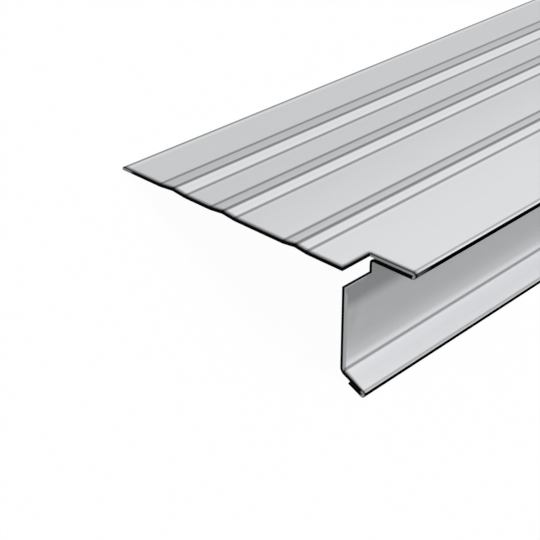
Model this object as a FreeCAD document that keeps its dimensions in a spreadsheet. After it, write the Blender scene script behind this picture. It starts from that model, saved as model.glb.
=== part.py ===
"""Drip edge: one strip of sheet metal, roll-formed along its length and notched at one end.

The section is drawn with x from the rear edge of the roof flange to the nose, and z up from
the plane of the roof deck. From the rear edge the sheet runs over three stiffening ribs to
the nose, folds flat under itself, turns down as the leg in front of the fascia, kicks out at
the foot and ends in a flat hem under the kick. The strip is stored as it lies on a floor:
on the rear edge of its flange and on the hem of its kick, like a lean-to roof.
"""

import math
import os

import FreeCAD, Part
import Sketcher

Vector = FreeCAD.Vector

# Driving dimensions, in millimetres and degrees
SIZES = {
    "length": 3048.0,
    "flange_width": 95.25,
    "sheet_thickness": 0.81,
    "rear_rib_centre": 20.5,
    "middle_rib_centre": 39.6,
    "front_rib_centre": 65.3,
    "rear_rib_width": 10.1,
    "middle_rib_width": 9.2,
    "front_rib_width": 8.1,
    "rib_height": 0.5,
    "rib_bend_radius": 0.6,
    "nose_overhang": 13.4,
    "nose_fold_radius": 0.2,
    "leg_bend_radius": 0.6,
    "kick_bend_depth": 27.5,
    "kick_bend_radius": 1.2,
    "kick_angle": 24.0,
    "kick_length": 6.7,
    "hem_fold_radius": 0.15,
    "hem_return": 4.5,
    "notch_length": 10.0,
    "notch_depth": 5.0,
}
NODE = "drip_edge"

# The bends, counted from the rear edge: three to each rib, then one for each later turn
RIBS = ("rear", "middle", "front")
BENDS_PER_RIB = 3
NOSE = BENDS_PER_RIB * len(RIBS)
LEG = NOSE + 1
KICK = NOSE + 2
HEM = NOSE + 3

# How far a bend may be solved from its planned place, in millimetres
PLACING_TOLERANCE = 0.001

# A sketch's own numbers: the points of a line or arc, its origin and its horizontal axis
START, END, CENTRE = 1, 2, 3
ORIGIN = (-1, 1)
X_AXIS = -1


def make_sheet(doc):
    """The spreadsheet of driving dimensions: a label, and beside it the aliased value."""
    sheet = doc.addObject("Spreadsheet::Sheet", "sizes")
    for row, (alias, value) in enumerate(SIZES.items(), 1):
        sheet.set(f"A{row}", alias.replace("_", " "))
        sheet.set(f"B{row}", str(value))
        sheet.setAlias(f"B{row}", alias)
    doc.recompute()
    return sheet


def rib_bends(sheet, centre, width):
    """The three bends of one raised rib: its rear foot, its crest and its front foot."""
    thickness = sheet.sheet_thickness
    radius = sheet.rib_bend_radius
    foot_z = thickness + radius
    crest_z = sheet.rib_height - radius
    half = width / 2
    slope = math.asin((2 * radius + thickness) / math.hypot(half, foot_z - crest_z))
    slope -= math.atan2(foot_z - crest_z, half)
    slope = math.degrees(slope)
    name = "rib_bend_radius"
    return [
        {"at": (centre - half, foot_z), "from": 0, "turn": slope, "radius": name},
        {"at": (centre, crest_z), "from": slope, "turn": -2 * slope, "radius": name},
        {"at": (centre + half, foot_z), "from": -slope, "turn": slope, "radius": name},
    ]


def section_bends(sheet):
    """Every bend of the sheet in order from the rear edge: its centre, the heading that it turns
    from, how far it turns, and the name of its inner radius.

    A heading is the sheet's direction of travel in degrees, and a turn to the left is positive.
    """
    thickness = sheet.sheet_thickness
    nose_radius = sheet.nose_fold_radius
    leg_radius = sheet.leg_bend_radius
    kick_radius = sheet.kick_bend_radius
    hem_radius = sheet.hem_fold_radius
    kick_heading = -sheet.kick_angle
    leg_front = sheet.flange_width - sheet.nose_overhang

    bends = []
    for name in RIBS:
        centre = getattr(sheet, f"{name}_rib_centre")
        width = getattr(sheet, f"{name}_rib_width")
        bends += rib_bends(sheet, centre, width)

    nose = (sheet.flange_width - nose_radius - thickness, -nose_radius)
    bends.append({"at": nose, "from": 0, "turn": -180, "radius": "nose_fold_radius"})

    leg = (leg_front + leg_radius, -2 * nose_radius - thickness - leg_radius)
    bends.append({"at": leg, "from": -180, "turn": 90, "radius": "leg_bend_radius"})

    kick = (leg_front + kick_radius, -sheet.kick_bend_depth)
    turn = 90 + kick_heading
    bends.append({"at": kick, "from": -90, "turn": turn, "radius": "kick_bend_radius"})

    along = math.radians(kick_heading)
    across = kick_radius + thickness + hem_radius
    hem = (
        kick[0] + sheet.kick_length * math.cos(along) + across * math.sin(along),
        kick[1] + sheet.kick_length * math.sin(along) - across * math.cos(along),
    )
    turn = -180
    bends.append({"at": hem, "from": kick_heading, "turn": turn, "radius": "hem_fold_radius"})
    return bends


def bend_arc(bend, radius):
    """One face of a bend as an arc, with the numbers of its entry and exit points."""
    side = -90 if bend["turn"] > 0 else 90
    first = bend["from"] + side
    last = first + bend["turn"]
    circle = Part.Circle(Vector(*bend["at"], 0), Vector(0, 0, 1), radius)
    low, high = sorted((math.radians(first), math.radians(last)))
    entry, leave = (START, END) if bend["turn"] > 0 else (END, START)
    return Part.ArcOfCircle(circle, low, high), entry, leave


def arc_point(arc, number):
    """Where an arc starts or ends."""
    return arc.StartPoint if number == START else arc.EndPoint


def draw_face(sketch, bends, radii, start, tail):
    """One face of the sheet: straights and arcs by turns, meeting end to end.

    Returns the numbers of its straights and of its arcs in the sketch.
    """
    shapes = []
    here = start
    for bend, radius in zip(bends, radii):
        arc, entry, leave = bend_arc(bend, radius)
        shapes += [Part.LineSegment(here, arc_point(arc, entry)), arc]
        here = arc_point(arc, leave)
    heading = math.radians(bends[-1]["from"] + bends[-1]["turn"])
    far = here + Vector(math.cos(heading), math.sin(heading), 0) * tail
    shapes.append(Part.LineSegment(here, far))
    numbers = sketch.addGeometry(shapes, False)
    return numbers[0::2], numbers[1::2]


def tangent_rules(bends, straights, arcs):
    """Each straight runs smoothly into its bend, and each bend into the next straight."""
    rules = []
    for bend, before, arc, after in zip(bends, straights, arcs, straights[1:]):
        entry, leave = (START, END) if bend["turn"] > 0 else (END, START)
        rules.append(rule("Tangent", before, END, arc, entry))
        rules.append(rule("Tangent", arc, leave, after, START))
    return rules


def rule(kind, *args):
    """A geometric constraint, with no size."""
    return Sketcher.Constraint(kind, *args), None


def size(kind, *args, value, formula):
    """A dimension, bound to the sheet of sizes by a formula."""
    return Sketcher.Constraint(kind, *args, value), formula


def cap_rules(sketch, weather, back):
    """Draws the two cut edges that close the outline, square across the sheet."""
    rules = []
    for top, bottom, point in ((weather[0], back[0], START), (weather[-1], back[-1], END)):
        ends = [sketch.getPoint(line, point) for line in (top, bottom)]
        cap = sketch.addGeometry(Part.LineSegment(*ends), False)
        rules.append(rule("Coincident", top, point, cap, START))
        rules.append(rule("Coincident", bottom, point, cap, END))
        rules.append(rule("Perpendicular", cap, bottom))
        rules.append(rule("Parallel", top, bottom))
    return rules


def thickness_rules(sheet, bends, weather_arcs, back_arcs):
    """Both faces of a bend share its centre, and differ in radius by the sheet's thickness."""
    rules = []
    for bend, weather, back in zip(bends, weather_arcs, back_arcs):
        inner, outer = (weather, back) if bend["turn"] > 0 else (back, weather)
        name = f"sizes.{bend['radius']}"
        radius = getattr(sheet, bend["radius"])
        rules.append(rule("Coincident", weather, CENTRE, back, CENTRE))
        rules.append(size("Radius", inner, value=radius, formula=name))
        rules.append(size("Radius", outer, value=radius + sheet.sheet_thickness,
                          formula=f"{name} + sizes.sheet_thickness"))
    return rules


def flange_rules(bends, back, arcs):
    """Flats on the deck plane, the ribs at their places, and the nose at the flange's width."""
    rules = [rule("Coincident", back[0], START, *ORIGIN), rule("Horizontal", back[0])]
    for rib, name in enumerate(RIBS):
        first = BENDS_PER_RIB * rib
        rear_foot, crest, front_foot = arcs[first:first + BENDS_PER_RIB]
        foot_x = bends[first]["at"][0]
        crest_x, crest_z = bends[first + 1]["at"]
        flat = back[first + BENDS_PER_RIB]
        half = {"value": crest_x - foot_x, "formula": f"sizes.{name}_rib_width / 2"}
        rules += [
            size("DistanceX", *ORIGIN, crest, CENTRE,
                 value=crest_x, formula=f"sizes.{name}_rib_centre"),
            size("DistanceY", *ORIGIN, crest, CENTRE,
                 value=crest_z, formula="sizes.rib_height - sizes.rib_bend_radius"),
            size("DistanceX", rear_foot, CENTRE, crest, CENTRE, **half),
            size("DistanceX", crest, CENTRE, front_foot, CENTRE, **half),
            rule("Horizontal", flat),
            rule("PointOnObject", flat, START, X_AXIS),
        ]
    nose_x = bends[NOSE]["at"][0]
    rules.append(size("DistanceX", *ORIGIN, arcs[NOSE], CENTRE, value=nose_x,
                      formula="sizes.flange_width - sizes.nose_fold_radius"
                              " - sizes.sheet_thickness"))
    return rules


def leg_and_kick_rules(sheet, bends, weather, back, arcs):
    """The return under the nose, the upright leg, the kick at its angle and the hem beneath it."""
    kick_line, hem_line = back[HEM], back[HEM + 1]
    heading = math.radians(-sheet.kick_angle)
    return [
        rule("Horizontal", back[LEG]),
        rule("Vertical", weather[KICK]),
        size("DistanceX", *ORIGIN, arcs[LEG], CENTRE, value=bends[LEG]["at"][0],
             formula="sizes.flange_width - sizes.nose_overhang + sizes.leg_bend_radius"),
        size("DistanceY", arcs[KICK], CENTRE, *ORIGIN,
             value=sheet.kick_bend_depth, formula="sizes.kick_bend_depth"),
        size("Distance", kick_line, value=sheet.kick_length, formula="sizes.kick_length"),
        size("Angle", kick_line, value=heading, formula="-sizes.kick_angle * 1 deg"),
        rule("Parallel", hem_line, kick_line),
        size("Distance", hem_line, value=sheet.hem_return, formula="sizes.hem_return"),
    ]


def apply_rules(sketch, rules):
    """Adds all rules at once, and binds each dimension to the sheet of sizes."""
    first = sketch.ConstraintCount
    sketch.addConstraint([constraint for constraint, _ in rules])
    for number, (_, formula) in enumerate(rules, first):
        if formula:
            sketch.setExpression(f"Constraints[{number}]", formula)


def plane(body, role):
    """One of the body's own origin planes."""
    return next(f for f in body.Origin.OriginFeatures if f.Role == role)


def new_sketch(body, name):
    """An empty sketch across the strip: its x is the body's x, and its y the body's z."""
    sketch = body.newObject("Sketcher::SketchObject", name)
    sketch.AttachmentSupport = [(plane(body, "XZ_Plane"), "")]
    sketch.MapMode = "FlatFace"
    return sketch


def draw_section(body, sheet):
    """The closed outline of the bent sheet: its weather face, its back face and two cut edges."""
    sketch = new_sketch(body, "section")
    bends = section_bends(sheet)
    thickness = sheet.sheet_thickness
    weather_radii, back_radii = [], []
    for bend in bends:
        inner = getattr(sheet, bend["radius"])
        pair = (inner, inner + thickness)
        weather, back = pair if bend["turn"] > 0 else reversed(pair)
        weather_radii.append(weather)
        back_radii.append(back)
    tail = sheet.hem_return
    weather, weather_arcs = draw_face(sketch, bends, weather_radii, Vector(0, thickness, 0), tail)
    back, back_arcs = draw_face(sketch, bends, back_radii, Vector(0, 0, 0), tail)
    apply_rules(
        sketch,
        tangent_rules(bends, weather, weather_arcs)
        + tangent_rules(bends, back, back_arcs)
        + cap_rules(sketch, weather, back)
        + thickness_rules(sheet, bends, weather_arcs, back_arcs)
        + flange_rules(bends, back, weather_arcs)
        + leg_and_kick_rules(sheet, bends, weather, back, weather_arcs),
    )
    return sketch


def roll_strip(body, section):
    """The section drawn out to the stock length, half each way from the middle."""
    strip = body.newObject("PartDesign::Pad", "strip")
    strip.Profile = section
    strip.SideType = "Symmetric"
    strip.setExpression("Length", "sizes.length")
    return strip


def draw_notch(body, sheet):
    """The block cut from the near end: all in front of the leg's back face, down to its depth.

    It stands a sheet's thickness clear of the nose and of the top of the flange.
    """
    sketch = new_sketch(body, "notch_outline")
    sketch.setExpression("AttachmentOffset.Base.z", "sizes.length / 2")
    thickness = sheet.sheet_thickness
    left = sheet.flange_width - sheet.nose_overhang - thickness
    right = sheet.flange_width + thickness
    low = thickness - sheet.notch_depth
    high = 2 * thickness
    corners = [Vector(*p, 0) for p in ((left, low), (right, low), (right, high), (left, high))]
    sides = [Part.LineSegment(a, b) for a, b in zip(corners, corners[1:] + corners[:1])]
    bottom, front, top, rear = sketch.addGeometry(sides, False)
    joints = zip((bottom, front, top, rear), (front, top, rear, bottom))
    rules = [rule("Coincident", a, END, b, START) for a, b in joints]
    rules += [rule("Horizontal", bottom), rule("Horizontal", top)]
    rules += [rule("Vertical", front), rule("Vertical", rear)]
    rules += [
        size("DistanceX", *ORIGIN, bottom, START, value=left,
             formula="sizes.flange_width - sizes.nose_overhang - sizes.sheet_thickness"),
        size("DistanceX", *ORIGIN, bottom, END, value=right,
             formula="sizes.flange_width + sizes.sheet_thickness"),
        size("DistanceY", bottom, START, *ORIGIN, value=-low,
             formula="sizes.notch_depth - sizes.sheet_thickness"),
        size("DistanceY", *ORIGIN, top, START, value=high, formula="2 * sizes.sheet_thickness"),
    ]
    apply_rules(sketch, rules)
    return sketch


def cut_notch(body, outline):
    """Takes the notch out of the near end, so that the next strip's nose can lap over it."""
    notch = body.newObject("PartDesign::Pocket", "lap_notch")
    notch.Profile = outline
    notch.setExpression("Length", "sizes.notch_length")
    return notch


def resting_tilt(sheet):
    """How far the strip leans back, in degrees, once its rear edge and its hem are on the floor."""
    hem_x, hem_z = section_bends(sheet)[HEM]["at"]
    hem_radius = sheet.hem_fold_radius + sheet.sheet_thickness
    reach = math.hypot(hem_x, hem_z)
    return math.degrees(math.atan2(-hem_z, hem_x) + math.asin(hem_radius / reach))


def stand_on_floor(body, sheet):
    """Leans the strip to its resting tilt, then centres it over the origin with its foot at z = 0."""
    lean = FreeCAD.Rotation(Vector(0, 1, 0), -resting_tilt(sheet))
    body.Placement = FreeCAD.Placement(Vector(0, 0, 0), lean)
    box = body.Shape.optimalBoundingBox(False, False)
    body.Placement = FreeCAD.Placement(Vector(-box.Center.x, 0, -box.ZMin), lean)


def check(doc, body):
    """Stops if a feature failed, a cut took nothing away, or the solid isn't whole."""
    for item in doc.Objects:
        if {"Invalid", "Error"} & set(item.State):
            raise RuntimeError(f"{item.Name} failed: {item.State}")
    for sketch in ("section", "notch_outline"):
        if not doc.getObject(sketch).FullyConstrained:
            raise RuntimeError(f"{sketch} is not fully constrained")
    arcs = [shape for shape in doc.section.Geometry if isinstance(shape, Part.ArcOfCircle)]
    for bend, arc in zip(section_bends(doc.sizes), arcs):
        if (arc.Center - Vector(*bend["at"], 0)).Length > PLACING_TOLERANCE:
            raise RuntimeError(f"the bend planned at {bend['at']} was solved to {arc.Center}")
    if doc.lap_notch.Shape.Volume >= doc.strip.Shape.Volume:
        raise RuntimeError("the lap notch cut nothing away")
    if body.Shape.isNull() or not body.Shape.isValid() or len(body.Shape.Solids) != 1:
        raise RuntimeError(f"{body.Label} is not one valid solid")


def main():
    doc = FreeCAD.newDocument("drip_edge")
    sheet = make_sheet(doc)
    body = doc.addObject("PartDesign::Body", NODE)
    body.Label = NODE
    section = draw_section(body, sheet)
    roll_strip(body, section)
    doc.recompute()
    outline = draw_notch(body, sheet)
    cut_notch(body, outline)
    doc.recompute()
    stand_on_floor(body, sheet)
    check(doc, body)
    os.makedirs("parts", exist_ok=True)
    body.Shape.exportStep(f"parts/{body.Label}.step")
    box = body.Shape.optimalBoundingBox(False, False)
    print(f"tilt {resting_tilt(sheet):.3f} degrees, volume {body.Shape.Volume:.1f} mm3")
    print(f"box {box.XLength:.3f} x {box.YLength:.3f} x {box.ZLength:.3f} mm")


main()
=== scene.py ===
"""The drip edge dressed: one strip of mill-finished sheet metal on a white floor.

The strip is modelled as a sheet that follows its section's bends, from the rear edge of the
flange over the ribs to the nose, and down the leg to the hem. Sizes are in millimetres and
degrees up to where the mesh is written, and its material reads places on the sheet in
millimetres too. Everything else is in metres.

A place on the sheet is s, its way from the rear edge along the middle of the sheet, y, its way
from the notched end, and its depth below the weather face. A ramp is written as where it starts
and ends, and its values there. A tone is what the metal's colour is multiplied by: apart from the
grain's streaks, the tones are painted light and shade.
"""
import math

import bmesh
import bpy
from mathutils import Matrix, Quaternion, Vector


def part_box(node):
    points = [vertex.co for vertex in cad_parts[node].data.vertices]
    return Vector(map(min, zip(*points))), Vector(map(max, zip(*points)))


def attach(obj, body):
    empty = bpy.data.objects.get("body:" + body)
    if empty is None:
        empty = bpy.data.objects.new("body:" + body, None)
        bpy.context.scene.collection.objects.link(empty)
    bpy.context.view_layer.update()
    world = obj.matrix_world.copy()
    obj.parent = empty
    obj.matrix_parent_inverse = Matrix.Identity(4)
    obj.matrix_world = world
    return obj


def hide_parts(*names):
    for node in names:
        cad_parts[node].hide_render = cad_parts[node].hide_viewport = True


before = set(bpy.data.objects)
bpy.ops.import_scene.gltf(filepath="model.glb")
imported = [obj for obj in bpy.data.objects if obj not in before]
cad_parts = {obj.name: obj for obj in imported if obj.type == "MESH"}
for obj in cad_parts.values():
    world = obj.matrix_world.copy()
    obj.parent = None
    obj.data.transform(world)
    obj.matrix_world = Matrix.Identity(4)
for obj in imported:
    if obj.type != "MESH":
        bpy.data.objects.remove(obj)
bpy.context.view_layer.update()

NODE = "drip_edge"
MM = 0.001

# The section. A rib is its middle, from the rear edge, and its width
LENGTH = 3048.0
FLANGE_WIDTH = 95.25
THICKNESS = 0.81
RIBS = ((20.5, 10.1), (39.6, 9.2), (65.3, 8.1))
RIB_HEIGHT = 0.5
RIB_BEND_RADIUS = 0.6
NOSE_OVERHANG = 13.4
NOSE_FOLD_RADIUS = 0.2
LEG_BEND_RADIUS = 0.6
KICK_BEND_DEPTH = 27.5
KICK_BEND_RADIUS = 1.2
KICK_ANGLE = 24.0
KICK_LENGTH = 6.7
HEM_FOLD_RADIUS = 0.15
HEM_RETURN = 4.5
NOTCH_LENGTH = 10.0
NOTCH_DEPTH = 5.0

# The leg's front and the centres of bends, from the rear edge and up from the flange's underside
LEG_FRONT = FLANGE_WIDTH - NOSE_OVERHANG
NOSE_CENTRE = (FLANGE_WIDTH - NOSE_FOLD_RADIUS - THICKNESS, -NOSE_FOLD_RADIUS)
LEG_CENTRE = (LEG_FRONT + LEG_BEND_RADIUS, -2 * NOSE_FOLD_RADIUS - THICKNESS - LEG_BEND_RADIUS)
KICK_CENTRE = (LEG_FRONT + KICK_BEND_RADIUS, -KICK_BEND_DEPTH)

# How finely the mesh is divided, and how its edges are broken
ARC_STEP = 12.0
FEWEST_ARC_STEPS = 4
STRAIGHT_STEP = 4.0
ROW_STEP = 24.0
STEPS_FROM_A_CUT = (0.0, 0.3, 0.6, 1.0, 1.5, 2.2, 3.2, 4.6)
PLACE_DIGITS = 5
EDGE_BREAK = 0.05
LAYER_DEPTHS = (0.0, EDGE_BREAK, THICKNESS - EDGE_BREAK, THICKNESS)
SHARP_ANGLE = 30.0

# How far up its bake map each part of the strip's length lies
MAP_STOPS = ((0.0, 0.005), (15.0, 0.35), (60.0, 0.5), (LENGTH - 15.0, 0.93), (LENGTH, 0.975))
# The charts of each kind on that map: where the first starts, how far on the next, how wide each
FACE_CHARTS = (0.005, 0.5, 0.46)
END_CHARTS = (0.981, 0.009, 0.007)
EDGE_CHARTS = (0.472, 0.007, 0.005)

# The metal, and painted light over the flange's width, lighter towards the nose, and along its rear
# edge a painted dark line and then a painted highlight band
METAL = (0.60, 0.61, 0.625)
FLANGE_TONES = (25.0, 88.0, 0.90, 1.15)
REAR_TONES = ((0.75, 1.1, 0.42, 1.15), (2.0, 2.6, 1.0, 0.87))
# The painted light and shade of each rib's flanks, the one that leans back first, and how soft
# their sides are
FLANK_TONES = ((0.835, 1.22), (0.84, 1.17), (0.80, 1.015))
FLANK_SIDE = 0.2
# The painted shade line along a bend: how far on from the bend's middle, its half width and its
# tone
CREASES = {
    "rear foot": (0.0, 0.62, 0.36),
    "crest": (0.04, 0.64, 0.28),
    "front foot": (-0.06, 0.57, 0.37),
    "kick": (0.0, 0.62, 0.36),
}
# A line is darkest up to the first and gone from the second of these times its half width
LINE_SIDE = (0.3, 1.5)
# The faint painted highlight beside such a line: where it comes and goes, off the bend's
# middle, and its tone
SHEEN_STARTS = (0.5, 0.95)
SHEEN_ENDS = (1.2, 2.2)
SHEEN_TONE = 1.05

# A pressed fold, from its start: a thin painted dark line's half width and tone, and where its
# painted highlight begins
FOLD_LINE = (0.3, 0.55)
FOLD_LIGHT_STARTS = (0.1, 0.35)
# From how many degrees on the folds are painted black as shadow, the black's near side, and the
# tones behind a fold
NOSE_SHADED_FROM = 50.0
HEM_SHADED_FROM = 32.0
FOLD_SHADE_SIDE = (-0.06, 0.06, 1.0, 0.0)
BEHIND_FOLD = (0.0, 1.5, 0.0, 0.91)
# The tones of the nose's painted highlight by how far it is from its cut, and the tone of the
# hem's painted highlight
NOSE_LIGHTS = (1.0, 9.0, 0.73, 1.01)
HEM_LIGHT = 1.25
# How the painted shadow under the nose starts out grey, by how far it is from its cut
NOSE_FADE = (0.0, 7.0, 0.12, 0.0)

# The leg's tones, painted shade, by how far below its top bend, how they set in there, and the
# kick's tones, painted light, by how far past its bend
LEG_TONES = (
    (6.2, 10.7, 0.47, 0.88),
    (13.2, 18.2, 1.0, 0.88),
    (19.2, 24.2, 1.0, 1.16),
    (23.2, 25.7, 1.0, 1.38),
)
LEG_START = (-0.5, 0.0, 0.0, 1.0)
KICK_TONES = (0.3, 1.2, 1.02, 0.985)
# Darker painted shade beside the notch, where the nose doesn't shade the leg: how far along the
# strip it reaches, and how much less far for each millimetre down
NOTCH_TONES = (12.0, 22.0, 0.69, 1.0)
NOTCH_REACH = (6.0, 10.9)
NOTCH_SLANT = 0.26

# The grey strip along the leg's cuts, a painted bevel highlight: its tones by how far below the top
# bend, its widths by how far below the notch, and the shares of its width between which it ends
CUT_STRIP_TONES = (9.0, 28.0, 0.51, 0.60)
CUT_STRIP_WIDTHS = (1.0, 3.0, 0.5, 1.25)
CUT_STRIP_SIDE = (0.9, 1.15, 1.0, 0.0)
# How wide the painted shade beside a cut is: on the flange by y, on the kick at its bend and fold
FLANGE_CUT_WIDTHS = (0.8, 2.6, 2.1, 1.6)
KICK_CUT_WIDTHS = (1.6, 0.9)

# The grain: how it is stretched, its scale and detail, the range that counts, and what it does
GRAIN_STRETCH = (6.0, 0.05, 0.0)
GRAIN_NOISE = (1.0, 3.0)
GRAIN_RANGE = (0.3, 0.7)
STREAK_TONES = (0.975, 1.02)
ROUGHNESS = (0.46, 0.54)
BUMP_DISTANCE = 0.00002
BUMP_STRENGTH = 0.3
# How metallic and how glossy the metal is by its tone: not at all where painted shade makes it
# black
METALLIC = (0.02, 0.2, 0.0, 0.14)
SPECULAR = (0.02, 0.3, 0.0, 0.5)

# The cut edge, painted black and grey as shade: its colour, the tones of its black and its grey
# parts, its grain and roughness
CUT_COLOUR = (1.0, 1.01, 1.03)
CUT_BLACKS = (0.001, 0.006)
CUT_GREYS = (0.34, 0.40)
CUT_NOISE = (4.0, 2.0)
CUT_ROUGHNESS = 0.6
# How grey its painted shade is: past the start of the hem's fold and past its end, by its depth,
# and by s
GREY_HEM = ((-0.8, -0.2, 0.0, 1.0), (-0.2, 0.4, 1.0, 0.0))
GREY_DEPTHS = (0.0, 0.35, 0.3, 1.0)
GREY_CORNER = (2.5, 4.8, 0.8, 0.0)

# The setting, in metres
WHITE = (1.0, 1.0, 1.0, 1.0)
SKY_LIGHT = 0.5
FLOOR_SIZE = 12.0
FLOOR_COLOUR = (0.8, 0.8, 0.8, 1.0)
FLOOR_GLOW = 0.97
KEY_ENERGY = 1.9
KEY_ANGLE = 20.0
KEY_FROM = (0.2, 0.3, 0.93)
CAMERA_LENS = 85.384
CAMERA_SENSOR = 36.0
CAMERA_NEAREST = 0.01
CAMERA_PLACE = (0.136245, -1.723435, 0.232879)
CAMERA_AIM = (0.014116, -1.531795, 0.020)
CAMERA_ROLL = 19.553


def rib_bends(centre, width):
    """The three bends of one raised rib: rear foot, crest and front foot."""
    foot_z = THICKNESS + RIB_BEND_RADIUS
    crest_z = RIB_HEIGHT - RIB_BEND_RADIUS
    half = width / 2
    slope = math.asin((2 * RIB_BEND_RADIUS + THICKNESS) / math.hypot(half, foot_z - crest_z))
    slope = math.degrees(slope - math.atan2(foot_z - crest_z, half))
    return [
        ("rear foot", (centre - half, foot_z), 0.0, slope, RIB_BEND_RADIUS),
        ("crest", (centre, crest_z), slope, -2 * slope, RIB_BEND_RADIUS),
        ("front foot", (centre + half, foot_z), -slope, slope, RIB_BEND_RADIUS),
    ]


def section_bends():
    """Each bend from the rear edge on: name, centre, heading before it, turn and inner radius."""
    down = math.radians(-KICK_ANGLE)
    across = KICK_BEND_RADIUS + THICKNESS + HEM_FOLD_RADIUS
    hem_centre = (
        KICK_CENTRE[0] + KICK_LENGTH * math.cos(down) + across * math.sin(down),
        KICK_CENTRE[1] + KICK_LENGTH * math.sin(down) - across * math.cos(down),
    )
    bends = [bend for centre, width in RIBS for bend in rib_bends(centre, width)]
    return bends + [
        ("nose", NOSE_CENTRE, 0.0, -180.0, NOSE_FOLD_RADIUS),
        ("leg", LEG_CENTRE, -180.0, 90.0, LEG_BEND_RADIUS),
        ("kick", KICK_CENTRE, -90.0, 90.0 - KICK_ANGLE, KICK_BEND_RADIUS),
        ("hem", hem_centre, -KICK_ANGLE, -180.0, HEM_FOLD_RADIUS),
    ]


class Station:
    """A place on the middle of the sheet, and the sheet's heading there."""

    def __init__(self, s, x, z, heading):
        self.s, self.x, self.z, self.heading = s, x, z, heading

    def point(self, up, on=0.0):
        """The point so far up towards the weather face and so far on along the sheet."""
        angle = math.radians(self.heading)
        along, across = math.cos(angle), math.sin(angle)
        return self.x + on * along - up * across, self.z + on * across + up * along


def walk_section(bends):
    """Stations at the ends and round every bend, and where each bend starts and ends."""
    stations = [Station(0.0, 0.0, THICKNESS / 2, 0.0)]
    spans = []
    for name, (x, z), heading, turn, inner in bends:
        radius = inner + THICKNESS / 2
        side = math.copysign(radius, turn)
        steps = max(FEWEST_ARC_STEPS, math.ceil(abs(turn) / ARC_STEP))
        start = None
        for step in range(steps + 1):
            angle = heading + turn * step / steps
            turned = math.radians(angle)
            here = (x + side * math.sin(turned), z - side * math.cos(turned))
            if start is None:
                last = stations[-1]
                start = last.s + math.dist((last.x, last.z), here)
            s = start + radius * math.radians(abs(turn)) * step / steps
            stations.append(Station(s, *here, angle))
        spans.append((name, start, stations[-1].s))
    last = stations[-1]
    stations.append(Station(last.s + HEM_RETURN, *last.point(0.0, HEM_RETURN), last.heading))
    return stations, spans


def by_name(spans):
    """Where bends start and end, by their names, which only the bends of the ribs share."""
    return {name: (start, end) for name, start, end in spans}


def notch_span(spans):
    """Where the notch starts on the flange and ends on the leg, along the sheet."""
    ends = by_name(spans)
    back_of_leg = LEG_FRONT - THICKNESS
    floor_of_notch = THICKNESS - NOTCH_DEPTH
    start = ends["nose"][0] - (NOSE_CENTRE[0] - back_of_leg)
    return start, ends["leg"][1] + LEG_CENTRE[1] - floor_of_notch


def evenly(low, high, step):
    """Places from low up to high, no further apart than a step, without high itself."""
    count = max(1, math.ceil((high - low) / step))
    return [low + (high - low) * place / count for place in range(count)]


def divide(stations, wanted):
    """Stations at the wanted places and all round the bends, with none far from the next."""
    known = {round(station.s, PLACE_DIGITS): station for station in stations[1:-1]}
    places = sorted(set(known) | {round(s, PLACE_DIGITS) for s in wanted})
    fine = []
    for low, high in zip(places, places[1:]):
        fine += evenly(low, high, STRAIGHT_STEP)
    columns = []
    for s in fine + places[-1:]:
        here = known.get(round(s, PLACE_DIGITS))
        if here is None:
            before = [station for station in stations if station.s <= s][-1]
            here = Station(s, *before.point(0.0, s - before.s), before.heading)
        columns.append(here)
    return columns


def column_places(total, notch):
    """Where the sheet needs stations besides its bends: at its two edges and beside the notch."""
    places = [EDGE_BREAK, total - EDGE_BREAK]
    for step in STEPS_FROM_A_CUT:
        places.append(notch[0] - EDGE_BREAK - step)
        places.append(notch[1] + EDGE_BREAK + step)
    return places


def row_places():
    """How far each row of the grid lies from the notched end."""
    near = [EDGE_BREAK + step for step in STEPS_FROM_A_CUT]
    notch = [NOTCH_LENGTH + place for place in near]
    far = [LENGTH - place for place in reversed(near)]
    return near + notch[:-1] + evenly(notch[-1], far[0], ROW_STEP) + far


def resting_tilt(bends):
    """How far the strip leans back on its rear edge and its hem, in radians."""
    _, (x, z), _, _, inner = bends[-1]
    return math.atan2(-z, x) + math.asin((inner + THICKNESS) / math.hypot(x, z))


class Grid:
    """The sheet as rows and columns of cells, with those of the notch left out."""

    def __init__(self, columns, rows, notch):
        self.columns, self.rows, self.notch = columns, rows, notch
        self.first = self.column_at(notch[0] - EDGE_BREAK)
        self.last = self.column_at(notch[1] + EDGE_BREAK)
        self.notch_row = self.row_at(NOTCH_LENGTH + EDGE_BREAK)

    def column_at(self, s):
        return min(range(len(self.columns)), key=lambda k: abs(self.columns[k].s - s))

    def row_at(self, y):
        return min(range(len(self.rows)), key=lambda j: abs(self.rows[j] - y))

    def cell(self, k, j):
        """Whether there is metal between columns k and k + 1 and rows j and j + 1."""
        inside = 0 <= k < len(self.columns) - 1 and 0 <= j < len(self.rows) - 1
        return inside and not (self.first <= k < self.last and j < self.notch_row)

    def outward(self, k, j):
        """The ways out of the sheet at a corner of cells, as steps along it and along the strip."""
        here, left, below = self.cell(k, j), self.cell(k - 1, j), self.cell(k, j - 1)
        corner = self.cell(k - 1, j - 1)
        across = (left - here) or (corner - below)
        along = (below - here) or (corner - left)
        return across, along

    def edge_number(self, k):
        """Which of the four edges along the strip a column belongs to."""
        edges = (0, len(self.columns) - 1, self.first, self.last)
        return edges.index(k)

    def from_cut(self, s, y):
        """How far a place lies from the nearest cut across the strip or round its notch."""
        gaps = [LENGTH - y]
        if self.notch[0] < s < self.notch[1]:
            gaps.append(y - NOTCH_LENGTH)
        else:
            gaps.append(y)
            beside = max(self.notch[0] - s, s - self.notch[1])
            past = max(0.0, y - NOTCH_LENGTH)
            gaps.append(math.hypot(beside, past))
        return max(0.0, min(gaps))


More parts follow.
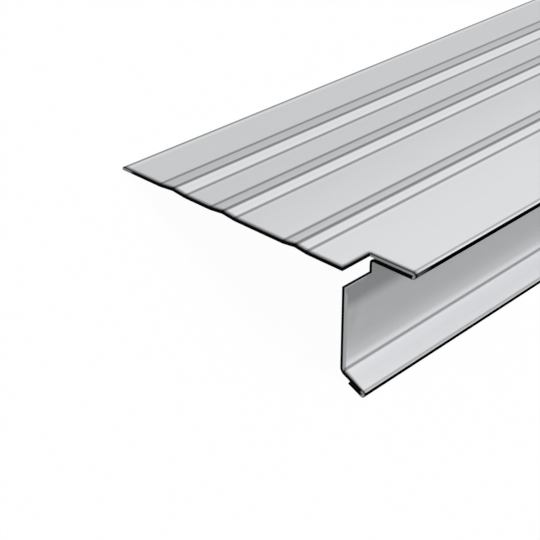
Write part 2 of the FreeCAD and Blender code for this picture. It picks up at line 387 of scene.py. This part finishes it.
def sheet_faces(grid):
    """The sheet's corners as (s, y, depth, x, height) and its faces, each with its map chart."""
    corners, faces, numbers = [], [], {}

    def corner(k, j, layer):
        """The number of a corner: layers 0 and 3 are the two faces, and 1 and 2 the cut edge."""
        key = (k, j, layer)
        if key not in numbers:
            station, y = grid.columns[k], grid.rows[j]
            across, along = grid.outward(k, j) if layer in (1, 2) else (0, 0)
            depth = LAYER_DEPTHS[layer]
            x, z = station.point(THICKNESS / 2 - depth, across * EDGE_BREAK)
            s = station.s + across * EDGE_BREAK
            numbers[key] = len(corners)
            corners.append((s, y + along * EDGE_BREAK, depth, x, z))
        return numbers[key]

    for k in range(len(grid.columns)):
        for j in range(len(grid.rows)):
            here = grid.cell(k, j)
            if here:
                ring = ((k, j), (k + 1, j), (k + 1, j + 1), (k, j + 1))
                for number, layer in enumerate((0, 3)):
                    faces.append(([corner(*place, layer) for place in ring], ("face", number)))
            if grid.cell(k - 1, j) != here:
                add_edge(faces, corner, (k, j), (k, j + 1), ("edge", grid.edge_number(k)))
            if grid.cell(k, j - 1) != here:
                add_edge(faces, corner, (k, j), (k + 1, j), ("end", int(j > grid.notch_row)))
    return corners, faces


def add_edge(faces, corner, start, end, chart):
    """The three faces of a cut edge between two places of the grid."""
    for layer in (0, 1, 2):
        ring = ((*start, layer), (*end, layer), (*end, layer + 1), (*start, layer + 1))
        faces.append(([corner(*place) for place in ring], chart))


def resting_points(corners, tilt):
    """The corners as they lie on the floor, placed by the node's own box."""
    lean, rise = math.cos(tilt), math.sin(tilt)
    points = [
        Vector((x * lean - z * rise, y - LENGTH / 2, x * rise + z * lean)) * MM
        for _, y, _, x, z in corners
    ]
    low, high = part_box(NODE)
    sideways = (low.x + high.x - min(p.x for p in points) - max(p.x for p in points)) / 2
    drop = low.z - min(p.z for p in points)
    return [point + Vector((sideways, 0.0, drop)) for point in points]


def write_sheet(grid, tilt, materials, total):
    """Writes the strip's mesh as it lies on the floor, and where on the sheet each corner is."""
    corners, faces = sheet_faces(grid)
    mesh = bpy.data.meshes.new(NODE + "_sheet")
    mesh.from_pydata(resting_points(corners, tilt), [], [face for face, _ in faces])
    for material in materials:
        mesh.materials.append(material)
    on_cut = [int(kind != "face") for _, (kind, _) in faces]
    mesh.polygons.foreach_set("material_index", on_cut)
    place = mesh.attributes.new("place", "FLOAT_VECTOR", "POINT")
    place.data.foreach_set("vector", [value for corner in corners for value in corner[:3]])
    gap = mesh.attributes.new("from_cut", "FLOAT", "POINT")
    gap.data.foreach_set("value", [grid.from_cut(s, y) for s, y, *_ in corners])
    write_bake_map(mesh, corners, faces, total)
    turn_faces_outward(mesh)
    mesh.shade_smooth()
    mesh.set_sharp_from_angle(angle=math.radians(SHARP_ANGLE))
    return mesh


def turn_faces_outward(mesh):
    shell = bmesh.new()
    shell.from_mesh(mesh)
    bmesh.ops.recalc_face_normals(shell, faces=shell.faces)
    shell.to_mesh(mesh)
    shell.free()


def write_bake_map(mesh, corners, faces, total):
    bake_map = mesh.uv_layers.new(name="OFBake")
    for polygon, (_, chart) in zip(mesh.polygons, faces):
        for loop in polygon.loop_indices:
            s, y, depth, *_ = corners[mesh.loops[loop].vertex_index]
            bake_map.data[loop].uv = bake_place(chart, s / total, y, depth / THICKNESS)


def bake_place(chart, across, y, down):
    """Where a corner lies on the bake map: on a face, across a cut end or along a cut edge."""
    kind, number = chart
    if kind == "face":
        return on_chart(FACE_CHARTS, number, across), along_map(y)
    if kind == "end":
        return on_chart(FACE_CHARTS, 0, across), on_chart(END_CHARTS, number, down)
    return on_chart(EDGE_CHARTS, number, down), along_map(y)


def on_chart(charts, number, share):
    """The place at a share of the width of one of the charts of a kind."""
    first, apart, width = charts
    return first + apart * number + width * share


def along_map(y):
    """How far up its bake map a row lies: the notched end has more of the map than its length."""
    for (low, start), (high, end) in zip(MAP_STOPS, MAP_STOPS[1:]):
        if y <= high:
            return start + (end - start) * (y - low) / (high - low)
    return MAP_STOPS[-1][1]


class Nodes:
    """A tree of nodes: most of its methods add nodes and give the socket with their result."""

    def __init__(self, tree):
        self.tree = tree

    def plug(self, node, inputs):
        """Links each input to the socket that it is given, or sets it to the plain value."""
        for name, value in inputs.items():
            if isinstance(value, bpy.types.NodeSocket):
                self.tree.links.new(value, node.inputs[name])
            else:
                node.inputs[name].default_value = value

    def add(self, kind, inputs, **settings):
        """A new node, with its settings made and its inputs plugged."""
        node = self.tree.nodes.new(kind)
        for name, value in settings.items():
            setattr(node, name, value)
        self.plug(node, inputs)
        return node

    def math(self, operation, *values):
        return self.add("ShaderNodeMath", dict(enumerate(values)), operation=operation).outputs[0]

    def product(self, *values):
        whole = values[0]
        for value in values[1:]:
            whole = self.math("MULTIPLY", whole, value)
        return whole

    def mix(self, share, first, second):
        """The first value where the share is nought, and the second where it is one."""
        sockets = {0: share, 2: first, 3: second}
        return self.add("ShaderNodeMix", sockets, data_type="FLOAT").outputs[0]

    def ramp(self, value, low, high, start=0.0, end=1.0):
        """Goes smoothly from start at low to end at high."""
        sockets = {
            "Value": value, "From Min": low, "From Max": high, "To Min": start, "To Max": end,
        }
        return self.add("ShaderNodeMapRange", sockets, interpolation_type="SMOOTHSTEP").outputs[0]

    def distance(self, value, place):
        return self.math("ABSOLUTE", self.math("SUBTRACT", value, place))

    def line(self, value, place, half_width, shade):
        """Goes from one down to a shade and back, within a little more than a half width."""
        core, side = (share * half_width for share in LINE_SIDE)
        return self.ramp(self.distance(value, place), core, side, shade, 1.0)

    def noise(self, place, scale, detail):
        sockets = {"Vector": place, "Scale": scale, "Detail": detail}
        return self.add("ShaderNodeTexNoise", sockets).outputs[0]

    def scaled(self, colour, tone):
        sockets = {0: colour, "Scale": tone}
        return self.add("ShaderNodeVectorMath", sockets, operation="SCALE").outputs[0]

    def sheet_place(self):
        """The place on the sheet as a vector, and its s, y and depth apart."""
        place = self.add("ShaderNodeAttribute", {}, attribute_name="place").outputs["Vector"]
        parts = self.add("ShaderNodeSeparateXYZ", {0: place}).outputs
        return place, parts["X"], parts["Y"], parts["Z"]

    def seen(self):
        """One for rays from the eye, straight, reflected or through glass, or else nought."""
        ray = self.add("ShaderNodeLightPath", {}).outputs
        seen = self.math("MAXIMUM", ray["Is Camera Ray"], ray["Is Glossy Ray"])
        return self.math("MAXIMUM", seen, ray["Is Transmission Ray"])


def middle(span):
    *_, start, end = span
    return (start + end) / 2


def beyond(place, ramp):
    """A ramp whose places are counted from a place on the sheet."""
    low, high, *values = ramp
    return place + low, place + high, *values


def painted_crease_shade(nodes, s, spans):
    """Painted shade: soft dark lines along every bend of the ribs and of the kick."""
    tone = 1.0
    for span in spans:
        if span[0] in CREASES:
            on, half_width, shade = CREASES[span[0]]
            tone = nodes.product(tone, nodes.line(s, middle(span) + on, half_width, shade))
    return tone


def painted_crease_sheen(nodes, s, spans):
    """Painted highlights: faint light lines beside the crest and the front foot of every rib."""
    tone = 1.0
    for span in spans:
        if span[0] in ("crest", "front foot"):
            off = nodes.distance(s, middle(span))
            start = nodes.ramp(off, *SHEEN_STARTS, 1.0, SHEEN_TONE)
            end = nodes.ramp(off, *SHEEN_ENDS, 1.0, 1.0 / SHEEN_TONE)
            tone = nodes.product(tone, start, end)
    return tone


def painted_flank_shading(nodes, s, spans):
    """Painted shading of the ribs' flanks: those that lean back darker than the flats, others
    lighter.
    """
    tone = 1.0
    for (back, fore), rear, crest, front in zip(FLANK_TONES, spans[0::3], spans[1::3], spans[2::3]):
        for low, high, shade in ((rear, crest, back), (crest, front, fore)):
            for edge, after in ((low, shade), (high, 1.0 / shade)):
                side = beyond(middle(edge), (-FLANK_SIDE, FLANK_SIDE, 1.0, after))
                tone = nodes.product(tone, nodes.ramp(s, *side))
    return tone


def painted_fold_shading(nodes, s, span, shaded_from, inner, light, fade):
    """A pressed fold, painted: a thin dark line at its start, then highlight, then shadow from so
    many degrees on.
    """
    start, end = span
    dark = start + (inner + THICKNESS / 2) * math.radians(shaded_from)
    line = nodes.line(s, start, *FOLD_LINE)
    strip = nodes.ramp(s, *beyond(start, (*FOLD_LIGHT_STARTS, 1.0, light)))
    fall = nodes.math("MAXIMUM", nodes.ramp(s, *beyond(dark, FOLD_SHADE_SIDE)), fade)
    rise = nodes.ramp(s, *beyond(end, BEHIND_FOLD))
    return nodes.product(line, nodes.math("MAXIMUM", nodes.product(strip, fall), rise))


def painted_leg_shading(nodes, s, y, ends):
    """Painted shade on the leg: dark under the nose, lighter towards the kick, which is lighter
    still.
    """
    top = ends["leg"][1]
    changes = [nodes.ramp(s, *beyond(top, ramp)) for ramp in LEG_TONES]
    beside = nodes.ramp(s, *beyond(top, NOTCH_TONES))
    slant = nodes.product(nodes.math("SUBTRACT", s, top), NOTCH_SLANT)
    shaded = nodes.ramp(nodes.math("ADD", y, slant), *NOTCH_REACH)
    tone = nodes.product(nodes.mix(shaded, beside, 1.0), *changes)
    on_leg = nodes.mix(nodes.ramp(s, *beyond(top, LEG_START)), 1.0, tone)
    on_kick = nodes.ramp(s, *beyond(ends["kick"][1], KICK_TONES))
    return nodes.mix(nodes.math("GREATER_THAN", s, middle(ends["kick"])), on_leg, on_kick)


def painted_cut_highlight(nodes, s, gap, tone, ends, notch):
    """Puts the grey strip beside the leg's cuts, a painted bevel highlight, over its other tones.
    """
    top = ends["leg"][1]
    grey = nodes.ramp(s, *beyond(top, CUT_STRIP_TONES))
    width = nodes.ramp(s, *beyond(notch[1], CUT_STRIP_WIDTHS))
    near = nodes.ramp(nodes.math("DIVIDE", gap, width), *CUT_STRIP_SIDE)
    below = nodes.math("GREATER_THAN", s, top)
    above = nodes.math("LESS_THAN", s, middle(ends["kick"]))
    return nodes.mix(nodes.product(near, below, above), tone, grey)


def painted_cut_shade(nodes, s, y, gap, ends):
    """Painted shade: how dark the flange and the kick grow towards a cut."""
    flange = nodes.ramp(gap, EDGE_BREAK, nodes.ramp(y, *FLANGE_CUT_WIDTHS))
    foot_width = nodes.ramp(s, ends["kick"][1], ends["hem"][0], *KICK_CUT_WIDTHS)
    foot = nodes.ramp(gap, EDGE_BREAK, foot_width)
    lower = nodes.mix(nodes.math("GREATER_THAN", s, middle(ends["kick"])), 1.0, foot)
    return nodes.mix(nodes.math("GREATER_THAN", s, ends["leg"][0]), flange, lower)


def new_material(name):
    """A new material, its nodes and its shader."""
    material = bpy.data.materials.new(name)
    material.use_nodes = True
    nodes = Nodes(material.node_tree)
    return material, nodes, nodes.tree.nodes["Principled BSDF"]


def sheet_material(spans, notch):
    """Mill-finished aluminium, with painted shade and highlights along its bends, folds, cuts and
    leg.
    """
    material, nodes, shader = new_material("mill_aluminium")
    place, s, y, depth = nodes.sheet_place()
    gap = nodes.add("ShaderNodeAttribute", {}, attribute_name="from_cut").outputs["Fac"]
    ends = by_name(spans)
    # Painted highlights and shadows of the nose's and the hem's folds
    light = nodes.ramp(gap, *NOSE_LIGHTS)
    fade = nodes.ramp(gap, *NOSE_FADE)
    folds = nodes.product(
        painted_fold_shading(nodes, s, ends["nose"], NOSE_SHADED_FROM, NOSE_FOLD_RADIUS, light, fade),
        painted_fold_shading(nodes, s, ends["hem"], HEM_SHADED_FROM, HEM_FOLD_RADIUS, HEM_LIGHT, 0.0),
    )
    # Painted shade on the leg and the kick, under a painted bevel highlight beside the leg's cuts
    leg = painted_cut_highlight(nodes, s, gap, painted_leg_shading(nodes, s, y, ends), ends, notch)
    # Painted light and shade of the folds, the ribs' flanks and the leg, on the weather face only
    weather = nodes.math("LESS_THAN", depth, THICKNESS / 2)
    bands = nodes.mix(weather, 1.0, nodes.product(folds, painted_flank_shading(nodes, s, spans), leg))
    sockets = {0: place, 1: GRAIN_STRETCH}
    stretched = nodes.add("ShaderNodeVectorMath", sockets, operation="MULTIPLY").outputs[0]
    grain = nodes.noise(stretched, *GRAIN_NOISE)
    streak = nodes.ramp(grain, *GRAIN_RANGE, *STREAK_TONES)
    # Painted shade along the bends of the ribs and the kick, with painted highlights beside them
    creases = nodes.product(painted_crease_shade(nodes, s, spans), painted_crease_sheen(nodes, s, spans))
    # Painted light across the flange, and a painted dark line and highlight band along its rear
    # edge
    across = nodes.product(*[nodes.ramp(s, *tones) for tones in (FLANGE_TONES, *REAR_TONES)])
    # All the painted light and shade, times the grain's streaks
    tone = nodes.product(creases, bands, painted_cut_shade(nodes, s, y, gap, ends), streak, across)
    bump = {"Height": grain, "Distance": BUMP_DISTANCE, "Strength": BUMP_STRENGTH}
    nodes.plug(shader, {
        "Base Color": nodes.scaled(METAL, tone),
        "Metallic": nodes.ramp(tone, *METALLIC),
        "Specular IOR Level": nodes.ramp(tone, *SPECULAR),
        "Roughness": nodes.ramp(grain, *GRAIN_RANGE, *ROUGHNESS),
        "Normal": nodes.add("ShaderNodeBump", bump).outputs[0],
    })
    return material


def cut_material(spans, notch):
    """The sheared edge, painted black as shade, with a lighter painted grey at the fold ends and
    the flange's rear.
    """
    material, nodes, shader = new_material("sheared_edge")
    place, s, _, depth = nodes.sheet_place()
    ends = by_name(spans)
    on_nose = nodes.product(
        nodes.math("GREATER_THAN", s, notch[0] + 2 * EDGE_BREAK),
        nodes.math("LESS_THAN", s, ends["nose"][1]),
    )
    on_hem = [nodes.ramp(s, *beyond(end, ramp)) for end, ramp in zip(ends["hem"], GREY_HEM)]
    on_fold = nodes.math("MAXIMUM", on_nose, nodes.product(*on_hem))
    on_fold = nodes.product(on_fold, nodes.ramp(depth, *GREY_DEPTHS))
    share = nodes.math("MAXIMUM", on_fold, nodes.ramp(s, *GREY_CORNER))
    grain = nodes.noise(place, *CUT_NOISE)
    black = nodes.ramp(grain, *GRAIN_RANGE, *CUT_BLACKS)
    grey = nodes.ramp(grain, *GRAIN_RANGE, *CUT_GREYS)
    nodes.plug(shader, {
        "Base Color": nodes.scaled(CUT_COLOUR, nodes.mix(share, black, grey)),
        "Specular IOR Level": 0.0,
        "Roughness": CUT_ROUGHNESS,
    })
    return material


def model_sheet():
    bends = section_bends()
    stations, spans = walk_section(bends)
    notch = notch_span(spans)
    total = stations[-1].s
    grid = Grid(divide(stations, column_places(total, notch)), row_places(), notch)
    materials = (sheet_material(spans, notch), cut_material(spans, notch))
    mesh = write_sheet(grid, resting_tilt(bends), materials, total)
    sheet = bpy.data.objects.new("drip_edge_sheet", mesh)
    bpy.context.scene.collection.objects.link(sheet)
    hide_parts(NODE)
    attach(sheet, "root")


def white_world():
    """A plain sky: white where it is seen, also in the metal, and dimmer as a light."""
    world = bpy.data.worlds.new("white_sky")
    world.use_nodes = True
    nodes = Nodes(world.node_tree)
    sockets = {"Value": nodes.seen(), "To Min": SKY_LIGHT, "To Max": 1.0}
    strength = nodes.add("ShaderNodeMapRange", sockets).outputs[0]
    nodes.plug(nodes.tree.nodes["Background"], {"Color": WHITE, "Strength": strength})
    bpy.context.scene.world = world


def white_floor():
    """A wide white floor that keeps a faint shadow of the strip."""
    bpy.ops.mesh.primitive_plane_add(size=FLOOR_SIZE, location=(0.0, 0.0, 0.0))
    floor = bpy.context.object
    floor.name = "floor"
    material, nodes, shader = new_material("white_floor")
    nodes.tree.nodes.remove(shader)
    matt = nodes.add("ShaderNodeBsdfDiffuse", {"Color": FLOOR_COLOUR}).outputs[0]
    glow = nodes.add("ShaderNodeEmission", {"Color": WHITE, "Strength": 1.0}).outputs[0]
    share = nodes.product(nodes.seen(), FLOOR_GLOW)
    surface = nodes.add("ShaderNodeMixShader", {0: share, 1: matt, 2: glow}).outputs[0]
    nodes.plug(nodes.tree.nodes["Material Output"], {"Surface": surface})
    floor.data.materials.append(material)


def key_light():
    """A wide sun overhead, a little to the nose's side and towards the far end."""
    lamp = bpy.data.lights.new("key", "SUN")
    lamp.energy = KEY_ENERGY
    lamp.angle = math.radians(KEY_ANGLE)
    sun = bpy.data.objects.new("key", lamp)
    sun.rotation_mode = "QUATERNION"
    sun.rotation_quaternion = Vector(KEY_FROM).to_track_quat("Z", "Y")
    bpy.context.scene.collection.objects.link(sun)


def make_camera():
    camera = bpy.data.objects.new("camera", bpy.data.cameras.new("camera"))
    camera.data.lens = CAMERA_LENS
    camera.data.sensor_width = CAMERA_SENSOR
    camera.data.clip_start = CAMERA_NEAREST
    camera.location = CAMERA_PLACE
    aim = (Vector(CAMERA_AIM) - Vector(CAMERA_PLACE)).to_track_quat("-Z", "Y")
    camera.rotation_mode = "QUATERNION"
    camera.rotation_quaternion = aim @ Quaternion((0.0, 0.0, 1.0), math.radians(CAMERA_ROLL))
    bpy.context.scene.collection.objects.link(camera)
    bpy.context.scene.camera = camera


model_sheet()
white_world()
white_floor()
key_light()
make_camera()
bpy.context.scene.view_settings.view_transform = "Standard"
